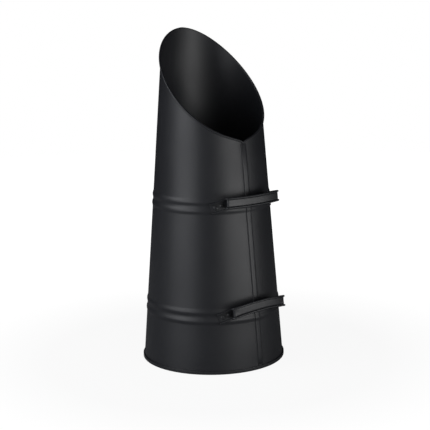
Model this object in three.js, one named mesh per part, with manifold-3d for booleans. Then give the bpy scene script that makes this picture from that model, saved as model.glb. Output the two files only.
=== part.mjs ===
// A tall, tapered coal scuttle in powder-coated sheet steel, standing on its seamed base.
// Millimetres, +Z up. The mouth, the lock seam and the handles face -Y, the high back +Y.
// The origin is on the floor, under the middle of the whole object's box.
import * as THREE from 'three';
import { mergeVertices } from 'three/addons/utils/BufferGeometryUtils.js';
import Module from 'manifold-3d';

const wasm = await Module();
wasm.setup();

// ---- Driving dimensions -------------------------------------------------------------------
const backHeight = 580;        // floor to the top of the rolled rim at the back
const frontDrop = 179.4;        // how much lower the mouth is at the front, before its notch
const baseRadius = 124.4;      // outside of the shell at the floor
const taper = 0.0764;          // radius lost for each millimetre of height
const sheet = 0.7;             // shell and base steel
const clearance = 0.3;         // gap kept between pieces that touch
const segments = 60;           // facets round the shell and base

const mouthBelly = 2;          // how far the mouth line bellies from a plain cosine
const mouthTurn = 0.014;       // radians by which the cut is turned from the notch
const notchDepth = 5.6;        // the small V where the mouth meets the seam
const notchWidth = 0.11;       // radians over which the V dies away

const seamWidth = 9;           // folded lock seam, across
const seamRise = 0.9;          // how far it stands out of the shell
const seamStep = 0.5;          // width of its edges
const seamDrift = 12;          // the seam's foot is this far round from under the mouth's notch
const seamTopGap = 6;          // the fold is dressed flat this far below the mouth
const seamTopSlope = 1.5;      // height over which it runs out there
const seamFootGap = 1;         // and this far above the base's seam

const rimWireRadius = 0.85;    // wire in the mouth's rolled rim
const rimWirePlay = 0.35;      // between that wire and the roll
const rimWireSides = 6;
const rimCurlEnd = -115;       // degrees at which the roll stops, from straight out
const beadHeights = [91.8, 107.2, 280.6, 295.7];  // centres of the swaged beads
const beadHalfHeight = 7.4;
const beadRise = 1.3;

const hookHeight = 5;          // top of the shell's turned-up lower edge
const baseSeamHeight = 6.2;    // top of the base's folded edge
const baseRecess = 7.3;        // underside of the base's sunk middle
const footCorner = 1.1;        // rounding of the base's lower edge
const stiffenerRadius = 82;    // pressed ring in the base
const stiffenerWidth = 7;
const stiffenerRise = 2;

const strapSheet = 0.8;        // handle steel
const strapCurlRadius = 1.8;   // outside radius of its rolled edges
const strapCurlEnd = 200;      // degrees at which their roll stops
const strapWidth = 15.5;       // between the centres of its rolled edges
const footReach = 65;          // feet reach this far to each side
const foldOffset = 36;         // where a foot folds into its riser
const gripHalfLength = 59;     // where a riser turns into the grip
const gripEndReach = 15.5;     // how far that corner stands out from the shell's front
const gripBow = 9.2;           // how much further the middle of the grip stands out
const footDrop = 13.8;         // the feet's ends lie this far below the grip's corners
const foldDrop = 4.4;          // and their folds this far
const foldRadius = 3;
const gripBendRadius = 4.1;
const footClearance = 0.5;     // between a foot and the beads under it
const handleDrift = 3.8;       // both handles sit this far round from under the notch
const upperHandleHeight = 298.3;  // at the grip's corners
const lowerHandleHeight = 112.7;
const lowerGripLift = 6.5;     // the lower grip's middle is this far above its corners
const handles = [              // skew: degrees out of level
  { name: 'upper', height: upperHandleHeight, lift: 0, skew: 0.4 },
  { name: 'lower', height: lowerHandleHeight, lift: lowerGripLift, skew: 2 },
];

const rivetPlaces = { outer: 57.8, inner: 48.4 };  // distances from the handle's middle
const rivetSides = 12;
const rivetHeadRadius = 3.3;
const rivetHeadHeight = 1.3;
const rivetHeadEdge = 0.35;
const rivetShankRadius = 1.9;
const rivetCrownRadius = 2.4;  // where the head's rounded edge meets its flat top
const rivetTailRadius = 2.8;
const rivetTailTaper = 1;      // the tail narrows this much towards its end
const rivetTailLength = 4;
const mandrelRadius = 0.8;
const mandrelHeadRadius = 1.9;
const mandrelHeadLength = 1.2;
const mandrelRecess = 0.7;     // the stub has broken off this far inside the head

// ---- The cone, the mouth line and the seam --------------------------------------------------
const finish = { color: 0x1c1d1f, roughness: 0.45, metalness: 0.0 };
const curlInner = rimWireRadius + rimWirePlay;
const curlOuter = curlInner + sheet;
const radiusAt = (z) => baseRadius - taper * z;
const frontHeight = backHeight - curlOuter - frontDrop;
const mouthMiddle = backHeight - curlOuter - frontDrop / 2;

// Angles run from the front, -Y, towards +X.
const onCone = (angle, r, z) => new THREE.Vector3(r * Math.sin(angle), -r * Math.cos(angle), z);
const fromFront = (angle) => Math.abs(Math.atan2(Math.sin(angle), Math.cos(angle)));
const mouthHeight = (angle) => {
  const a = fromFront(angle - mouthTurn);
  return mouthMiddle - frontDrop / 2 * Math.cos(a) + mouthBelly * Math.sin(2 * a)
    - notchDepth * Math.exp(-fromFront(angle) / notchWidth);
};
const mouthSlope = (angle) => {
  const step = 0.0005;
  return (mouthHeight(angle + step) - mouthHeight(angle - step)) / (2 * step)
    / radiusAt(mouthHeight(angle));
};
const seamAngle = (z) => seamDrift / baseRadius * Math.max(0, 1 - z / frontHeight);

// ---- Booleans -------------------------------------------------------------------------------
function toSolid(geometry) {
  const bare = geometry.clone();
  bare.deleteAttribute('normal');
  bare.deleteAttribute('uv');
  const merged = mergeVertices(bare, 1e-4);
  return new wasm.Manifold(new wasm.Mesh({
    numProp: 3,
    vertProperties: new Float32Array(merged.attributes.position.array),
    triVerts: new Uint32Array(merged.index.array),
  }));
}

function toGeometry(solid) {
  const mesh = solid.getMesh();
  const geometry = new THREE.BufferGeometry();
  geometry.setAttribute('position', new THREE.BufferAttribute(mesh.vertProperties, 3));
  geometry.setIndex(new THREE.BufferAttribute(mesh.triVerts, 1));
  return geometry;
}

const drilled = (geometry, drills) => toGeometry(
  drills.reduce((solid, drill) => solid.subtract(toSolid(drill)), toSolid(geometry)));

function piece(name, geometry) {
  const mesh = new THREE.Mesh(geometry, new THREE.MeshStandardMaterial(finish));
  mesh.name = name;
  return mesh;
}

// A closed outline of [radius, height] points, turned round Z.
function turned(outline, count = segments) {
  const points = [...outline, outline[0]].map(([r, z]) => new THREE.Vector2(r, z));
  const geometry = new THREE.LatheGeometry(points, count);
  geometry.rotateX(Math.PI / 2);
  return geometry;
}

const arc = (cx, cy, r, from, to, steps) => Array.from({ length: steps + 1 }, (_, i) => {
  const angle = THREE.MathUtils.degToRad(from + (to - from) * i / steps);
  return [cx + r * Math.cos(angle), cy + r * Math.sin(angle)];
});

// ---- Shell ----------------------------------------------------------------------------------
// Its outline is drawn with flags: 'mouth' points ride on the mouth line, 'outside' points
// are lifted along the lock seam.
function shellOutline() {
  const outline = [];
  const add = (r, z, flags = {}) => outline.push({ r, z, ...flags });
  const hookBottom = sheet + clearance;
  const hookInner = radiusAt(0) + clearance;
  const wall = (z, depth) => [radiusAt(z) - depth, z];

  add(...wall(hookBottom, sheet));
  add(hookInner + sheet, hookBottom);
  add(hookInner + sheet, hookHeight);
  add(hookInner, hookHeight);
  add(hookInner, hookBottom + sheet);
  add(...wall(hookBottom + sheet, 0));
  add(...wall(baseSeamHeight + seamFootGap, 0));
  add(...wall(baseSeamHeight + 2 * seamFootGap, 0), { outside: true });
  const bead = (centre, steps, depth, flags) => steps.forEach((step) => {
    const z = centre + step * beadHalfHeight;
    add(radiusAt(z) - depth + beadRise * (1 - step * step), z, flags);
  });
  for (const centre of beadHeights) {
    bead(centre, [-1, -0.55, 0, 0.55, 1], 0, { outside: true });
  }
  add(0, -seamTopGap, { mouth: true, outside: true });
  add(0, seamTopSlope - seamTopGap, { mouth: true });
  const curl = (r, from, to, steps) => arc(curlInner, 0, r, from, to, steps)
    .forEach(([dr, dz]) => add(dr, 0, { mouth: true, section: dz }));
  curl(curlInner, 180, rimCurlEnd, 6);
  curl(curlOuter, rimCurlEnd, 180, 7);
  for (const centre of [...beadHeights].reverse()) bead(centre, [1, 0, -1], sheet);
  return outline;
}

// The columns beside the front are drawn in to become the two edges of the lock seam.
const seamEdges = [0, seamWidth / 2, seamWidth / 2 + seamStep];
function columnAngle(column, r, z) {
  const signed = column > segments / 2 ? column - segments : column;
  const side = Math.sign(signed);
  const near = Math.abs(signed);
  const last = seamEdges.length - 1;
  const plain = side * Math.PI * Math.max(0, near - last) / (segments / 2 - last);
  const drift = seamAngle(z) * Math.cos(plain / 2) ** 2;
  return near <= last ? side * seamEdges[near] / r + drift : plain + drift;
}

function bodyShell() {
  const outline = shellOutline();
  const geometry = turned(outline.map(({ r, z }) => [r, z]));
  const position = geometry.attributes.position;
  const rows = outline.length + 1;
  for (let column = 0; column <= segments; column += 1) {
    for (let row = 0; row < rows; row += 1) {
      const point = outline[row % outline.length];
      const turn = column % segments;
      const onSeam = point.outside && Math.min(turn, segments - turn) < 2 ? seamRise : 0;
      let z = point.z;
      let angle = columnAngle(turn, radiusAt(z), z);
      let r = point.r + onSeam;
      if (point.mouth) {
        const line = frontHeight;
        angle = columnAngle(turn, radiusAt(line), line);
        z += mouthHeight(angle) + (point.section ?? 0) * Math.hypot(1, mouthSlope(angle));
        r += radiusAt(z);
      }
      position.setXYZ(column * rows + row, ...onCone(angle, r, z));
    }
  }
  return geometry;
}

// The wire lies in the roll, so it follows the same line.
function rimWire() {
  const outline = arc(0, 0, rimWireRadius, 0, 360 - 360 / rimWireSides, rimWireSides - 1);
  const geometry = turned(outline);
  const position = geometry.attributes.position;
  const rows = outline.length + 1;
  for (let column = 0; column <= segments; column += 1) {
    for (let row = 0; row < rows; row += 1) {
      const [dr, dz] = outline[row % outline.length];
      const angle = columnAngle(column % segments, radiusAt(frontHeight), frontHeight);
      const line = mouthHeight(angle);
      const z = line + dz * Math.hypot(1, mouthSlope(angle));
      position.setXYZ(column * rows + row, ...onCone(angle, radiusAt(z) + curlInner + dr, z));
    }
  }
  return geometry;
}

// ---- Base -----------------------------------------------------------------------------------
// Sunk disc with a pressed ring, chuck wall inside the shell, and an edge folded up round its hook.
function basePan() {
  const foldInner = radiusAt(0) + clearance + sheet + clearance;
  const foldOuter = foldInner + sheet;
  const chuck = (z) => radiusAt(z) - sheet - clearance;
  const lip = radiusAt(baseSeamHeight) + clearance;
  const top = baseRecess + sheet;
  const ring = (z) => [
    [stiffenerRadius - stiffenerWidth, z],
    [stiffenerRadius - stiffenerWidth / 2, z + stiffenerRise],
    [stiffenerRadius + stiffenerWidth / 2, z + stiffenerRise],
    [stiffenerRadius + stiffenerWidth, z],
  ];
  return turned([
    [0, baseRecess],
    ...ring(baseRecess),
    [chuck(baseRecess) - sheet, baseRecess],
    [chuck(0) - sheet, 0],
    ...arc(foldOuter - footCorner, footCorner, footCorner, -90, 0, 3),
    [foldOuter, baseSeamHeight],
    [lip, baseSeamHeight],
    [lip, baseSeamHeight - sheet],
    [foldInner, baseSeamHeight - sheet],
    [foldInner, sheet],
    [chuck(sheet), sheet],
    [chuck(top), top],
    ...ring(top).reverse(),
    [0, top],
  ]);
}

// ---- Handles --------------------------------------------------------------------------------
// A strap follows a line through the centres of its rolled edges. 'Reach' is how far the line
// stands out from the shell's front.
const footStandOff = beadRise + footClearance + strapCurlRadius;
const strapInner = strapCurlRadius - strapSheet;
const handleTurn = handleDrift / baseRadius;
const footStations = [1, 0.78, 0.56, 0.34];       // shares of the way from the fold to the end
const gripStations = [-0.6, -0.3, 0, 0.3, 0.6];   // shares of the grip's half length
const gripShoulder = 0.8;

function rounded(before, corner, after, radius, steps) {
  const towards = before.clone().sub(corner).normalize();
  const away = after.clone().sub(corner).normalize();
  const half = towards.angleTo(away) / 2;
  const start = corner.clone().addScaledVector(towards, radius / Math.tan(half));
  const end = corner.clone().addScaledVector(away, radius / Math.tan(half));
  const middle = towards.clone().add(away).normalize();
  const centre = corner.clone().addScaledVector(middle, radius / Math.sin(half));
  return Array.from({ length: steps + 1 }, (_, i) => {
    const point = start.clone().lerp(end, i / steps).sub(centre).setLength(radius);
    return point.add(centre);
  });
}

function footPoint({ height, skew }, x) {
  const drop = THREE.MathUtils.mapLinear(Math.abs(x), foldOffset, footReach, foldDrop, footDrop);
  const z = height - drop + Math.tan(THREE.MathUtils.degToRad(skew)) * x;
  const r = radiusAt(z) + footStandOff;
  return new THREE.Vector3(x, -Math.sqrt(r * r - x * x), z);
}

function gripPoint({ height, lift, skew }, t) {
  const x = gripHalfLength * t;
  const swell = 1 - t * t;
  const z = height + lift * swell + Math.tan(THREE.MathUtils.degToRad(skew)) * x;
  return new THREE.Vector3(x, -radiusAt(height) - gripEndReach - gripBow * swell, z);
}

// Across the strap, and outward from it, where it passes a point in a given direction. Where it
// folds away from the shell, 'across' stays in the shell's wall.
function strapAxes(point, along, atFold = false) {
  const wall = onCone(Math.atan2(point.x, -point.y), -taper, 1).normalize();
  const across = atFold ? wall : wall.addScaledVector(along, -wall.dot(along)).normalize();
  return { across, outward: along.clone().cross(across).normalize() };
}

function handleLine(handle) {
  const side = (sign) => {
    const bend = footPoint(handle, sign * foldOffset);
    const corner = gripPoint(handle, sign);
    const foot = footStations.map((t) => (
      footPoint(handle, sign * THREE.MathUtils.lerp(foldOffset, footReach, t))));
    const fold = rounded(foot.at(-1), bend, corner, foldRadius, 3);
    const shoulder = gripPoint(handle, sign * gripShoulder);
    const turn = rounded(bend, corner, shoulder, gripBendRadius, 5);
    return [...foot, ...fold, ...turn].map((point) => ({ point, atFold: fold.includes(point) }));
  };
  const grip = gripStations.map((t) => ({ point: gripPoint(handle, t) }));
  return [...side(-1), ...grip, ...side(1).reverse()];
}

// Section of the strap: w across, n outward; both edges are rolled outward into open curls.
function strapSection() {
  const curl = [
    ...arc(0, 0, strapCurlRadius, -90, strapCurlEnd, 7),
    ...arc(0, 0, strapInner, strapCurlEnd, -90, 6),
  ];
  const edge = (side) => curl.map(([w, n]) => [side * (strapWidth / 2 + w), n]);
  return [...edge(1), ...edge(-1).reverse()];
}

function strap(handle) {
  const line = handleLine(handle);
  const outline = strapSection();
  const vertices = [];
  line.forEach(({ point, atFold }, i) => {
    const ahead = line[Math.min(i + 1, line.length - 1)].point;
    const behind = line[Math.max(i - 1, 0)].point;
    const along = ahead.clone().sub(behind).normalize();
    const { across, outward } = strapAxes(point, along, atFold);
    for (const [w, n] of outline) {
      vertices.push(point.clone().addScaledVector(across, w).addScaledVector(outward, n));
    }
  });
  const count = outline.length;
  const index = [];
  for (let row = 0; row + 1 < line.length; row += 1) {
    for (let j = 0; j < count; j += 1) {
      const a = row * count + j;
      const b = row * count + (j + 1) % count;
      index.push(a, b, a + count, b, b + count, a + count);
    }
  }
  const last = (line.length - 1) * count;
  THREE.ShapeUtils.triangulateShape(outline.map(([w, n]) => new THREE.Vector2(w, n)), [])
    .forEach(([a, b, c]) => index.push(a, c, b, last + a, last + b, last + c));
  const geometry = new THREE.BufferGeometry().setFromPoints(vertices);
  geometry.setIndex(index);
  return geometry;
}

// ---- Rivets ---------------------------------------------------------------------------------
// Drawn along +Z with the underside of the head at 0, then turned square to the foot.
const headSeat = clearance - strapInner;  // from the strap's line to under the head
const rivetGrip = footStandOff + headSeat + sheet + clearance;
const rivetBore = mandrelRadius + clearance;
const rivetEnd = -rivetGrip - rivetTailLength;

function rivetBody() {
  return turned([
    [rivetBore, rivetEnd],
    [rivetTailRadius - rivetTailTaper, rivetEnd],
    [rivetTailRadius, rivetEnd + rivetTailLength / 2],
    [rivetTailRadius, -rivetGrip],
    [rivetShankRadius, -rivetGrip],
    [rivetShankRadius, 0],
    [rivetHeadRadius, 0],
    [rivetHeadRadius, rivetHeadEdge],
    [rivetCrownRadius, rivetHeadHeight],
    [rivetBore, rivetHeadHeight],
  ], rivetSides);
}

function mandrelStub() {
  const shoulder = rivetEnd - clearance;
  return turned([
    [0, shoulder - mandrelHeadLength],
    [mandrelHeadRadius, shoulder - mandrelHeadLength],
    [mandrelHeadRadius, shoulder],
    [mandrelRadius, shoulder],
    [mandrelRadius, rivetHeadHeight - mandrelRecess],
    [0, rivetHeadHeight - mandrelRecess],
  ], rivetSides);
}

function rivetDrill() {
  const radius = rivetShankRadius + clearance;
  const reach = rivetGrip + rivetTailLength;
  return turned([[0, -reach], [radius, -reach], [radius, reach], [0, reach]], rivetSides);
}

// Where each rivet of a handle goes, in the handle's own frame.
function rivetSeats(handle) {
  return Object.entries({ left: -1, right: 1 }).flatMap(([side, sign]) => (
    Object.entries(rivetPlaces).map(([place, distance]) => {
      const point = footPoint(handle, sign * distance);
      const along = footPoint(handle, sign * distance + 1).sub(point).normalize();
      const { across, outward } = strapAxes(point, along);
      return {
        name: `${handle.name}_${side}_${place}`,
        matrix: new THREE.Matrix4()
          .makeBasis(along, across, outward)
          .setPosition(point.addScaledVector(outward, headSeat)),
      };
    })));
}

// ---- Assembly -------------------------------------------------------------------------------
const assembly = new THREE.Group();
const shellDrills = [];
for (const handle of handles) {
  const seats = rivetSeats(handle);
  const drills = seats.map(({ matrix }) => rivetDrill().applyMatrix4(matrix));
  const group = new THREE.Group();
  group.rotation.z = handleTurn;
  group.add(piece(`${handle.name}_handle`, drilled(strap(handle), drills)));
  for (const { name, matrix } of seats) {
    for (const [kind, geometry] of [['rivet', rivetBody()], ['mandrel', mandrelStub()]]) {
      const mesh = piece(`${name}_${kind}`, geometry);
      mesh.applyMatrix4(matrix);
      group.add(mesh);
    }
  }
  assembly.add(group);
  shellDrills.push(...drills.map((drill) => drill.rotateZ(handleTurn)));
}
assembly.add(piece('body_shell', drilled(bodyShell(), shellDrills)));
assembly.add(piece('rim_wire', rimWire()));
assembly.add(piece('base_pan', basePan()));

const box = new THREE.Box3().setFromObject(assembly, true);
assembly.position.set(-(box.min.x + box.max.x) / 2, -(box.min.y + box.max.y) / 2, 0);

const scuttle = new THREE.Group();
scuttle.add(assembly);

export default scuttle;
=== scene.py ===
import math

import bmesh
import bpy
from mathutils import Matrix, Vector


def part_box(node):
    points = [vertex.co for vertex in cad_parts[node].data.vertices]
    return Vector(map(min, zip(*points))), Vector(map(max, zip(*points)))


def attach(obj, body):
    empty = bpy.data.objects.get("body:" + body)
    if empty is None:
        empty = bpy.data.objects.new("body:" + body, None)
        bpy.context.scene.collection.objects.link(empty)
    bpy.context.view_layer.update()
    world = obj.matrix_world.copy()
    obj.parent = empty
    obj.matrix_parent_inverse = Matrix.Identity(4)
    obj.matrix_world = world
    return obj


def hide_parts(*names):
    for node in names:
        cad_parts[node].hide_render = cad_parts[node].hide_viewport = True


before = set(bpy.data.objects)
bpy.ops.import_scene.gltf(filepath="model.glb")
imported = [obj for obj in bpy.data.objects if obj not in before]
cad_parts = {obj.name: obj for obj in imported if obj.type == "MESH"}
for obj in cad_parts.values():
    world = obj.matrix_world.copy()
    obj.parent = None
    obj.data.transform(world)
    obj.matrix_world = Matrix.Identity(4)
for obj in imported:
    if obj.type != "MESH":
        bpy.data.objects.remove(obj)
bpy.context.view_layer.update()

# ---- Body shell ------------------------------------------------------------------------------
# One sheet of thin steel, rolled into a cone and closed by a folded lock seam down the front.
# Two pairs of beads are rolled in all round, and the slanted mouth's edge is rolled outwards
# over a wire. The finished body is sprayed in satin black powder coat, inside and out.
pan_low, pan_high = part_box("base_pan")
body_axis = Vector(((pan_low.x + pan_high.x) / 2, (pan_low.y + pan_high.y) / 2, 0))
whole_height, base_radius, taper = 0.57996, 0.1244, 0.0764   # the rim stays inside 580 mm
sheet = 0.0007
hook_gap = 0.0003   # between the layers of the hooked seam at the foot
shell_columns = 288
bead_heights = (0.0918, 0.1072, 0.2806, 0.2957)
bead_half_height = 0.0074
bead_rise = 0.0013
bead_steps = 10
plain_rows = (0.0078, 0.0088, 0.02, 0.04, 0.06, 0.15, 0.2, 0.25, 0.325, 0.35)
roll_inner = 0.0012
roll_outer = roll_inner + sheet
roll_end = -120   # degrees; 180 is where the wall meets the roll
hook_low, hook_height, wall_foot = 0.001, 0.005, 0.0017
front_drop, mouth_turn, mouth_belly = 0.1794, 0.014, 0.0020
notch_depth, notch_width = 0.0056, 0.110
front_height = whole_height - roll_outer - front_drop
rim_radius, rim_height = 0.1, 1   # where the outline holds the roll until it goes to the mouth
seam_rise, seam_fade, seam_low, seam_lean = 0.0011, 0.006, 0.008, 0.012
ridge_rise, ridge_reach, ridge_blunt, ridge_fade = 0.0015, 0.022, 0.004, 0.03
# The lock seam's section: how far from its middle, and its share of the rise.
seam_left = ((0, 1), (0.0028, 1), (0.0037, 0.98), (0.0042, 0.86), (0.0046, 0.58),
             (0.0050, 0.18), (0.0053, -0.12), (0.0058, -0.3), (0.0065, -0.14), (0.0074, 0))
seam_right = ((0, 1), (0.0022, 1), (0.0034, 0.98), (0.0040, 0.88), (0.0045, 0.62),
              (0.0050, 0.3), (0.0055, 0.06), (0.0060, 0))


def cone_radius(z):
    """Outside of the wall at a height."""
    return base_radius - taper * z


def mouth_height(angle):
    """Height of the middle of the rolled rim, at an angle from the front."""
    a = abs(math.remainder(angle - mouth_turn, math.tau))
    notch = notch_depth * math.exp(-abs(math.remainder(angle, math.tau)) / notch_width)
    slant = front_drop / 2 * (1 - math.cos(a))
    return front_height + slant + mouth_belly * math.sin(2 * a) - notch


def mouth_stretch(angle):
    """How much taller the roll's section is where the mouth line climbs."""
    step = 0.0005
    climb = (mouth_height(angle + step) - mouth_height(angle - step)) / (2 * step)
    return math.hypot(1, climb / cone_radius(mouth_height(angle)))


def seam_angle(z):
    """The lock seam leans a little on its way down."""
    return seam_lean / base_radius * max(0, 1 - z / front_height)


def arc(x, y, radius, start, end, steps):
    """Points on an arc, its angles in degrees."""
    turns = (math.radians(start + (end - start) * i / steps) for i in range(steps + 1))
    return [(x + radius * math.cos(t), y + radius * math.sin(t)) for t in turns]


def turned(outline, steps):
    """An outline of (radius, height) points, spun once round Z from the front. It closes on
    itself, unless both its ends are on the axis."""
    mesh = bmesh.new()
    points = [mesh.verts.new((0, -r, z)) for r, z in outline]
    on_axis = outline[0][0] == 0 and outline[-1][0] == 0
    joined = zip(points, points[1:] + ([] if on_axis else points[:1]))
    edges = [mesh.edges.new(pair) for pair in joined]
    bmesh.ops.spin(mesh, geom=points + edges, axis=(0, 0, 1), angle=math.tau, steps=steps,
                   use_merge=True)
    bmesh.ops.remove_doubles(mesh, verts=mesh.verts, dist=1e-6)
    bmesh.ops.recalc_face_normals(mesh, faces=mesh.faces)
    return mesh


def beaded(z, depth=0):
    """A point of the wall, with the beads pressed into it."""
    near = min(bead_heights, key=lambda centre: abs(centre - z))
    t = min(1, abs(z - near) / bead_half_height)
    return cone_radius(z) - depth + bead_rise * math.cos(math.pi / 2 * t) ** 2, z


def shell_outline():
    """Section of the shell at the front, from its hooked lower edge round the roll and back."""
    hook = base_radius + hook_gap
    bead_rows = [centre + bead_half_height * step / bead_steps
                 for centre in bead_heights for step in range(-bead_steps, bead_steps + 1)]
    outer = [beaded(z) for z in sorted([*plain_rows, *bead_rows])]
    inner = [beaded(z, sheet) for z in sorted([*plain_rows[2:], *bead_rows], reverse=True)]
    roll = [(0, -seam_fade), (0, -seam_fade * 0.6),
            *arc(roll_inner, 0, roll_inner, 180, roll_end, 12),
            *arc(roll_inner, 0, roll_outer, roll_end, 180, 26)]
    return [(cone_radius(hook_low) - sheet, hook_low), (hook + sheet, hook_low),
            (hook + sheet, hook_height), (hook, hook_height), (hook, hook_low + sheet),
            (cone_radius(wall_foot), wall_foot), *outer,
            *((rim_radius + r, rim_height + z) for r, z in roll), *inner]


def column_angle(column, z):
    """Where a column of the shell stands, and its share of the seam's rise."""
    side = seam_right if column > 0 else seam_left
    sign = 1 if column > 0 else -1
    near = abs(column)
    last = len(side) - 1
    if near <= last:
        offset, lift = side[near]
        return sign * offset / cone_radius(z) + seam_angle(z), lift
    first = side[last][0] / cone_radius(z)
    plain = first + (math.pi - first) * (near - last) / (shell_columns / 2 - last)
    return sign * plain + seam_angle(z) * math.cos(plain / 2) ** 2, 0


def share_of(value):
    """A value held between 0 and 1."""
    return min(1, max(0, value))


def ridge(angle, z):
    """The sheet stands a little proud towards the seam, where the rollers can't reach its edge."""
    off = math.hypot(abs(angle - seam_angle(z)) * cone_radius(z), ridge_blunt) - ridge_blunt
    below_mouth = mouth_height(angle) - seam_fade - z
    fade = share_of((z - seam_low) / ridge_fade) * share_of(below_mouth / ridge_fade)
    return ridge_rise * fade * math.exp(-off / ridge_reach)


def shaped(mesh):
    """Moves the columns to the seam's edges and the upper rows to the mouth line. The seam rises
    on the outer face alone, from just above the base to just under the roll."""
    for vert in mesh.verts:
        column = round(math.atan2(vert.co.x, -vert.co.y) / math.tau * shell_columns)
        r, z = math.hypot(vert.co.x, vert.co.y), vert.co.z
        if z > rim_height / 2:
            angle, lift = column_angle(column, front_height)
            wrapped = math.remainder(angle, math.tau)
            rise, out = z - rim_height, r - rim_radius
            z = mouth_height(wrapped)
            z += rise * (mouth_stretch(wrapped) if rise > -seam_fade / 2 else 1)
            if out > -sheet / 2 and rise < -seam_fade * 0.8:
                out += seam_rise * lift
            r = out + cone_radius(z)
        else:
            angle, lift = column_angle(column, z)
            if r - cone_radius(z) > -sheet / 2 and z > seam_low:
                r += seam_rise * lift
            r += ridge(angle, z)
        vert.co = (r * math.sin(angle), -r * math.cos(angle), z)


class Finish:
    """A shader socket. Sums and products of it add Math nodes."""

    def __init__(self, tree, output=None):
        self.tree = tree
        self.output = output

    def node(self, kind, settings=(), sockets=(), output=0):
        """Any other node: its settings come first, then the values or links of its sockets."""
        made = self.tree.nodes.new(kind)
        for name, value in dict(settings).items():
            setattr(made, name, value)
        for name, value in dict(sockets).items():
            if isinstance(value, Finish):
                self.tree.links.new(value.output, made.inputs[name])
            else:
                made.inputs[name].default_value = value
        return Finish(self.tree, made.outputs[output])

    def math(self, operation, *values):
        return self.node("ShaderNodeMath", {"operation": operation}, dict(enumerate(values)))

    def __add__(self, other):
        return self.math("ADD", self, other)

    def __sub__(self, other):
        return self.math("SUBTRACT", self, other)

    def __rsub__(self, other):
        return self.math("SUBTRACT", other, self)

    def __mul__(self, other):
        return self.math("MULTIPLY", self, other)

    __radd__ = __add__
    __rmul__ = __mul__


def powder_coat(name, dark, light, roughness):
    """Satin black powder coat: a fine orange peel, soft clouds of gloss and slow dents. Its
    reflection is a little weaker than plain paint's, because the coat is matted."""
    material = bpy.data.materials.new(name)
    material.use_nodes = True
    tree = material.node_tree
    shader = tree.nodes["Principled BSDF"]
    shader.inputs["Specular IOR Level"].default_value = 0.33
    place = Finish(tree).node("ShaderNodeTexCoord", output="Object")

    def noise(scale, detail, stretch=(1, 1, 1)):
        mapped = place.node("ShaderNodeMapping", {}, {"Vector": place, "Scale": stretch})
        return place.node("ShaderNodeTexNoise", {}, {
            "Vector": mapped, "Scale": scale, "Detail": detail, "Roughness": 0.5})

    cloud = noise(16, 3)
    peel = noise(620, 2)
    dents = noise(11, 1, (1, 1, 0.25))
    fleck = noise(1900, 1)
    peel_depth, dent_depth = 0.000016, 0.00028
    colour = place.node("ShaderNodeMix", {"data_type": "RGBA"}, {
        "Factor": cloud * 0.6 + fleck * 0.4, "A": (*dark, 1), "B": (*light, 1)}, output="Result")
    bump = place.node("ShaderNodeBump", {}, {
        "Height": peel * peel_depth + dents * dent_depth, "Distance": 1.0, "Strength": 1.0})
    gloss = (cloud - 0.5) * 0.16 + (fleck - 0.5) * 0.08 + roughness
    for socket, value in (("Base Color", colour), ("Normal", bump), ("Roughness", gloss)):
        tree.links.new(value.output, shader.inputs[socket])
    return material


def made(mesh, name, material, slot, *nodes):
    """Turns a bmesh into a piece of the object that stands for CAD nodes."""
    data = bpy.data.meshes.new(name)
    mesh.to_mesh(data)
    mesh.free()
    data.shade_smooth()
    data.materials.append(material)
    piece = bpy.data.objects.new(name, data)
    bpy.context.scene.collection.objects.link(piece)
    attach(piece, "root")
    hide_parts(*nodes)
    return piece


def creased(piece, degrees):
    """Keeps edges sharper than an angle crisp."""
    piece.data.set_sharp_from_angle(angle=math.radians(degrees))


shell_coat = powder_coat("shell_coat", (0.0098, 0.0104, 0.0124), (0.0135, 0.0141, 0.0164), 0.43)
shell_mesh = turned(shell_outline(), shell_columns)
shaped(shell_mesh)
bmesh.ops.translate(shell_mesh, verts=shell_mesh.verts, vec=body_axis)
shell = made(shell_mesh, "rolled_body", shell_coat, "shell_coat", "body_shell")
creased(shell, 50)

# ---- Rim wire --------------------------------------------------------------------------------
# A round steel wire that the mouth's edge is rolled over, to stiffen it. It is bare drawn
# steel and shows nowhere, because the roll closes round it.
wire_steel = bpy.data.materials.new("wire_steel")
wire_steel.use_nodes = True
wire_shader = wire_steel.node_tree.nodes["Principled BSDF"]
wire_shader.inputs["Base Color"].default_value = (0.3, 0.3, 0.3, 1)
wire_shader.inputs["Metallic"].default_value = 1.0
wire_place = Finish(wire_steel.node_tree).node("ShaderNodeTexCoord", output="Object")
wire_drawn = wire_place.node("ShaderNodeTexNoise", {}, {"Vector": wire_place, "Scale": 400})
wire_steel.node_tree.links.new((wire_drawn * 0.2 + 0.25).output, wire_shader.inputs["Roughness"])
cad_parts["rim_wire"].data.materials.clear()
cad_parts["rim_wire"].data.materials.append(wire_steel)

# ---- Base pan --------------------------------------------------------------------------------
# The round bottom, pressed from sheet steel. It is sunk inside the shell, stiffened by a shallow
# ring, and its edge is folded up and closed round the shell's hooked edge as a double seam.
fold_inner = base_radius + hook_gap + sheet + hook_gap
fold_outer = fold_inner + sheet
fold_bend, fold_lip = 0.0011, 0.0006
seam_top = 0.0062
recess = 0.0073
chuck_bend, foot_bend = 0.0012, 0.0008


def pressed_ring(z, steps):
    """The stiffening ring of the base, as a smooth low swell."""
    half_width, rise, radius = 0.007, 0.002, 0.082
    turns = (2 * i / steps - 1 for i in range(steps + 1))
    return [(radius + half_width * t, z + rise * math.cos(math.pi / 2 * t) ** 2) for t in turns]


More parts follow.
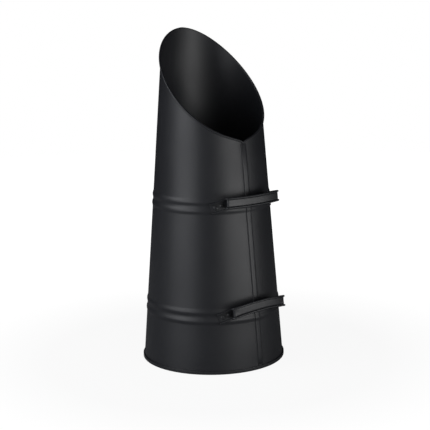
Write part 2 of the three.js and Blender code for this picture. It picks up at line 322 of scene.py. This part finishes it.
def pan_outline():
    """Section of the base: along its underside, round the fold, and back along its upper side."""
    chuck = [cone_radius(z) - sheet - hook_gap for z in (0, sheet, recess, recess + sheet)]
    lip = cone_radius(seam_top) + 0.0001
    return [(0, recess), *pressed_ring(recess, 16),
            *arc(chuck[2] - sheet - chuck_bend, recess - chuck_bend, chuck_bend, 90, 0, 5),
            *arc(chuck[0] - sheet + foot_bend, foot_bend, foot_bend, 180, 270, 5),
            *arc(fold_outer - fold_bend, fold_bend, fold_bend, -90, 0, 6),
            *arc(fold_outer - fold_lip, seam_top - fold_lip, fold_lip, 0, 90, 6),
            (lip, seam_top), (lip, seam_top - sheet), (fold_inner, seam_top - sheet),
            (fold_inner, sheet), (chuck[1], sheet), (chuck[3] - 0.001, recess + sheet),
            *pressed_ring(recess + sheet, 16)[::-1], (0, recess + sheet)]


pan_mesh = turned(pan_outline(), shell_columns)
bmesh.ops.translate(pan_mesh, verts=pan_mesh.verts, vec=body_axis)
pan = made(pan_mesh, "seamed_base", shell_coat, "shell_coat", "base_pan")
creased(pan, 50)

# ---- Handles ---------------------------------------------------------------------------------
# Two straps of strip steel, both edges rolled outwards into open curls. Each is bent by hand
# over a former: two feet that lie on the beads, two risers that splay, and a bowed grip.
strap_sheet = 0.0008
curl_radius = 0.0018
strap_width = 0.0155
web_rise, web_edge, web_slope = 0.0008, 0.82, 0.18   # edge and slope are shares of half a width
pressed_from, pressed_ramp = 0.012, 0.004   # how far off the shell the grip's web is pressed
web_face = -(curl_radius - strap_sheet / 2)
foot_stand_off = bead_rise + 0.0005 + curl_radius
foot_reach, foot_length, fold_offset = 0.065, 0.0192, 0.036
foot_drop, fold_drop = 0.0138, 0.0044
fold_bend, corner_bend = 0.003, 0.0041
grip_half_length, grip_stand_off, grip_bow = 0.0600, 0.0155, 0.0090
handle_turn = Matrix.Rotation(0.0038 / base_radius, 4, "Z")
# Each handle's height, how far its grip arches upwards, and its skew in degrees.
handle_shapes = {"upper": (0.2983, 0, 0.4), "lower": (0.1127, 0.0065, 2)}


def foot_point(handle, x):
    """A point of a foot's line, which follows the shell round."""
    height, _, skew = handle_shapes[handle]
    share = (abs(x) - fold_offset) / (foot_reach - fold_offset)
    z = height - fold_drop - (foot_drop - fold_drop) * share + math.tan(math.radians(skew)) * x
    r = cone_radius(z) + foot_stand_off
    return Vector((x, -math.sqrt(r * r - x * x), z))


def grip_point(handle, t):
    """A point of the grip's line, from -1 at its left corner to 1 at its right one."""
    height, lift, skew = handle_shapes[handle]
    x = grip_half_length * t
    z = height + lift * (1 - t * t) + math.tan(math.radians(skew)) * x
    return Vector((x, -cone_radius(height) - grip_stand_off - grip_bow * (1 - t * t), z))


def rounded(before, corner, after, radius, steps):
    """An arc that takes the place of a corner of the strap's line."""
    towards = (before - corner).normalized()
    away = (after - corner).normalized()
    half = towards.angle(away) / 2
    start = corner + towards * radius / math.tan(half)
    end = corner + away * radius / math.tan(half)
    centre = corner + (towards + away).normalized() * radius / math.sin(half)
    return [centre + (start.lerp(end, i / steps) - centre).normalized() * radius
            for i in range(steps + 1)]


def strap_line(handle):
    """Points along the strap, each with whether the strap is folding off the shell there."""
    def side(sign):
        bend = foot_point(handle, sign * fold_offset)
        corner = grip_point(handle, sign)
        foot = [foot_point(handle, sign * (foot_reach - foot_length * i / 8)) for i in range(9)]
        fold = rounded(foot[-1], bend, corner, fold_bend, 8)
        turn = rounded(bend, corner, grip_point(handle, sign * 0.8), corner_bend, 12)
        return ([(p, False) for p in foot] + [(p, True) for p in fold]
                + [(fold[-1].lerp(turn[0], 0.5), False)] + [(p, False) for p in turn])
    grip = [(grip_point(handle, t / 10), False) for t in range(-7, 8)]
    return side(-1) + grip + side(1)[::-1]


def strap_frame(point, along, folding=False):
    """The strap's own axes at a point of its line: across it, outwards from it and along it."""
    angle = math.atan2(point.x, -point.y)
    wall = Vector((-taper * math.sin(angle), taper * math.cos(angle), 1)).normalized()
    across = wall if folding else (wall - along * wall.dot(along)).normalized()
    outward = along.cross(across).normalized()
    return Matrix.Translation(point) @ Matrix((across, outward, along)).transposed().to_4x4()


def strap_section():
    """Middle of the sheet, from one open curl across the web to the other."""
    curl = arc(strap_width / 2, 0, -web_face, 150, -90, 14)
    web = [(w * strap_width / 2, web_face) for w in (web_edge, 0.76, 0.7, 0.64, 0.5, 0.25, 0)]
    half = curl + web
    return half + [(-w, n) for w, n in reversed(half[:-1])]


def crown(point, stand_off):
    """How far the web is pressed forward between its curls, for a point in the strap's own axes.
    Only the grip is pressed, because the feet have to lie flat under the rivets."""
    if point.y > web_face + 0.0001:
        return 0
    edge = share_of((web_edge - abs(point.x) / strap_width * 2) / web_slope)
    share = share_of((stand_off - pressed_from) / pressed_ramp)
    return web_rise * math.sin(math.pi / 2 * edge) * share


handle_coat = powder_coat("handle_coat", (0.0110, 0.0115, 0.0134), (0.0150, 0.0156, 0.0178), 0.40)
for handle in handle_shapes:
    line = strap_line(handle)
    frames = []
    for i, (point, folding) in enumerate(line):
        along = line[min(i + 1, len(line) - 1)][0] - line[max(i - 1, 0)][0]
        frames.append(strap_frame(point, along.normalized(), folding))
    strap_mesh = bmesh.new()
    edge_of_sheet = [strap_mesh.verts.new((w, n, 0)) for w, n in strap_section()]
    edges = [strap_mesh.edges.new(pair) for pair in zip(edge_of_sheet, edge_of_sheet[1:])]
    bmesh.ops.transform(strap_mesh, matrix=frames[0], verts=edge_of_sheet)
    rows = []
    # The section is carried along the line by extruding its edges from each frame to the next.
    for here, ahead in zip(frames, frames[1:]):
        grown = bmesh.ops.extrude_edge_only(strap_mesh, edges=edges)["geom"]
        moved = [part for part in grown if isinstance(part, bmesh.types.BMVert)]
        edges = [part for part in grown if isinstance(part, bmesh.types.BMEdge)
                 and all(vert in moved for vert in part.verts)]
        bmesh.ops.transform(strap_mesh, matrix=ahead @ here.inverted(), verts=moved)
        rows.append((ahead, moved))
    for axes, row in rows:
        stand_off = -axes.translation.y - cone_radius(axes.translation.z)
        for vert in row:
            local = axes.inverted() @ vert.co
            local.y += crown(local, stand_off)
            vert.co = axes @ local
    bmesh.ops.recalc_face_normals(strap_mesh, faces=strap_mesh.faces)
    bmesh.ops.transform(strap_mesh, matrix=Matrix.Translation(body_axis) @ handle_turn,
                        verts=strap_mesh.verts)
    strap = made(strap_mesh, f"{handle}_strap", handle_coat, "handle_coat", f"{handle}_handle")
    thickness = strap.modifiers.new("sheet", "SOLIDIFY")
    thickness.thickness = strap_sheet
    thickness.offset = 0
    edge_round = strap.modifiers.new("cut edge", "BEVEL")
    edge_round.width = 0.0003
    edge_round.segments = 2
    edge_round.limit_method = "ANGLE"
    edge_round.angle_limit = math.radians(60)

# ---- Blind rivets ----------------------------------------------------------------------------
# Two aluminium blind rivets go through each foot and the shell, set from outside: a low domed
# head with the broken-off mandrel sunk in it, and a bulged tail inside. They are coated black.
rivet_coat = powder_coat("rivet_coat", (0.0125, 0.0130, 0.0146), (0.0185, 0.0190, 0.0210), 0.36)
head_seat = 0.0001 - (curl_radius - strap_sheet)
rivet_grip = foot_stand_off + head_seat + sheet + 0.0003
tail_end = -rivet_grip - 0.004
bore, shank, head = 0.0011, 0.0019, 0.0033
rivet_outline = [
    (bore, tail_end), (0.0018, tail_end), (0.0026, tail_end + 0.0012),
    (0.0028, tail_end + 0.0024), (0.0026, -rivet_grip - 0.0003), (shank, -rivet_grip),
    (shank, 0), (head, 0), (head, 0.00025), *arc(0.0015, -0.0016, 0.0030, 38, 75, 6),
    (0.0013, 0.0014), (bore, 0.0012)]
mandrel_outline = [
    (0, tail_end - 0.0015), (0.0013, tail_end - 0.0015), (shank, tail_end - 0.0009),
    (shank, tail_end - 0.0003), (0.0008, tail_end), (0.0008, 0.0005), (0.0005, 0.0006),
    (0, 0.00055)]
rivet_places = (("outer", 0.0578), ("inner", 0.0484))
for handle in handle_shapes:
    for side, sign in (("left", -1), ("right", 1)):
        for place, distance in rivet_places:
            point = foot_point(handle, sign * distance)
            along = (foot_point(handle, sign * distance + 0.001) - point).normalized()
            seat = strap_frame(point, along)
            # A rivet is turned round Z, and the strap's outward axis is the second one.
            stand = (seat @ Matrix.Rotation(-math.pi / 2, 4, "X")
                     @ Matrix.Translation((0, 0, head_seat)))
            name = f"{handle}_{side}_{place}"
            for kind, outline in (("rivet", rivet_outline), ("mandrel", mandrel_outline)):
                mesh = turned(outline, 40)
                bmesh.ops.transform(mesh, verts=mesh.verts,
                                    matrix=Matrix.Translation(body_axis) @ handle_turn @ stand)
                piece = made(mesh, f"{name}_{kind}_turned", rivet_coat, "rivet_coat",
                             f"{name}_{kind}")
                creased(piece, 40)

# ---- Floor, light and camera -----------------------------------------------------------------
# A floor that keeps a faint shadow near the object and fades into the white surround. Wide soft
# lights stand to the left and right, as high as the object and low down, and put the two upright
# bands on the body. A small one near the floor lights the grips, and none hangs overhead.
floor_mesh = bmesh.new()
bmesh.ops.create_circle(floor_mesh, cap_ends=True, segments=96, radius=2.5)
floor_data = bpy.data.meshes.new("floor")
floor_mesh.to_mesh(floor_data)
floor_mesh.free()
floor = bpy.data.objects.new("floor", floor_data)
bpy.context.scene.collection.objects.link(floor)
floor_paint = bpy.data.materials.new("floor_paint")
floor_paint.use_nodes = True
tree = floor_paint.node_tree
floor_shader = tree.nodes["Principled BSDF"]
floor_shader.inputs["Base Color"].default_value = (0.35, 0.35, 0.35, 1)
floor_shader.inputs["Roughness"].default_value = 1.0
floor_shader.inputs["Specular IOR Level"].default_value = 0.0
paint = Finish(tree)
glow = paint.node("ShaderNodeEmission", {}, {"Strength": 1.1})
camera_ray = paint.node("ShaderNodeLightPath", output="Is Camera Ray")
place = paint.node("ShaderNodeTexCoord", output="Object")
away = paint.node("ShaderNodeVectorMath", {"operation": "LENGTH"}, {0: place}, output="Value")
share = paint.node("ShaderNodeMapRange", {}, {
    "Value": away, "From Min": 0.3, "From Max": 0.8, "To Min": 0.84, "To Max": 1.0})
mixed = paint.node("ShaderNodeMixShader", {}, {
    0: camera_ray * share, 1: Finish(tree, floor_shader.outputs[0]), 2: glow})
tree.links.new(mixed.output, tree.nodes["Material Output"].inputs["Surface"])
floor_data.materials.append(floor_paint)

world = bpy.data.worlds.new("surround")
bpy.context.scene.world = world
world.use_nodes = True
tree = world.node_tree
room = Finish(tree)
camera_ray = room.node("ShaderNodeLightPath", output="Is Camera Ray")
surround = room.node("ShaderNodeBackground", {}, {
    "Color": (1, 1, 1, 1), "Strength": camera_ray * 0.99 + 0.01})
tree.links.new(surround.output, tree.nodes["World Output"].inputs["Surface"])

# The camera was fitted to the photo. Its focal length is in pixels of a 430 pixel wide picture.
camera_turn, tilt, roll = 0.6176, 0.1982, -0.0150
focal_length, picture_width, sensor_width = 1239.5, 430, 36
to_camera_side = Matrix.Rotation(-camera_turn, 3, "Z")
eye = to_camera_side @ Vector((0.0061, -2.1485, 0.6851))
forward = to_camera_side @ Vector((0, math.cos(tilt), -math.sin(tilt)))
level = to_camera_side @ Vector((1, 0, 0))
upright = level.cross(forward)
across = level * math.cos(roll) + upright * math.sin(roll)
upward = upright * math.cos(roll) - level * math.sin(roll)
camera_data = bpy.data.cameras.new("camera")
camera_data.sensor_width = sensor_width
camera_data.lens = focal_length / picture_width * sensor_width
camera = bpy.data.objects.new("camera", camera_data)
camera.matrix_world = Matrix.Translation(eye + body_axis) @ Matrix(
    (across, upward, -forward)).transposed().to_4x4()
bpy.context.scene.collection.objects.link(camera)
bpy.context.scene.camera = camera


def soft_light(name, degrees, distance, height, width, tall, power, colour):
    """A softbox that faces the body, its angle measured from the camera's side to the right."""
    data = bpy.data.lights.new(name, "AREA")
    data.shape = "RECTANGLE"
    data.size = width
    data.size_y = tall
    data.energy = power
    data.color = colour
    lamp = bpy.data.objects.new(name, data)
    angle = math.radians(degrees) - camera_turn
    ground = Vector((math.sin(angle), -math.cos(angle), 0)) * distance
    lamp.location = ground + Vector((0, 0, height)) + body_axis
    aim = Vector((0, 0, aim_height)) + body_axis - lamp.location
    lamp.rotation_euler = aim.to_track_quat("-Z", "Y").to_euler()
    bpy.context.scene.collection.objects.link(lamp)


aim_height = 0.3
cool, neutral = (0.95, 0.965, 1), (1, 1, 1)
soft_light("left_high", -74, 1.7, 1.15, 0.9, 0.75, 13.8, cool)
soft_light("left_low", -51, 1.7, 0.35, 1.3, 0.75, 11.2, cool)
soft_light("left_near", -45, 1.7, 1.15, 0.85, 0.75, 5.9, cool)
soft_light("middle", 18, 1.7, 0.75, 0.45, 1.5, 2.6, neutral)
soft_light("right_low", 41, 1.7, 0.35, 0.85, 0.75, 9.3, neutral)
soft_light("right_floor", 66, 1.0, 0.16, 0.6, 0.3, 2.3, neutral)
bpy.context.scene.view_settings.view_transform = "Standard"
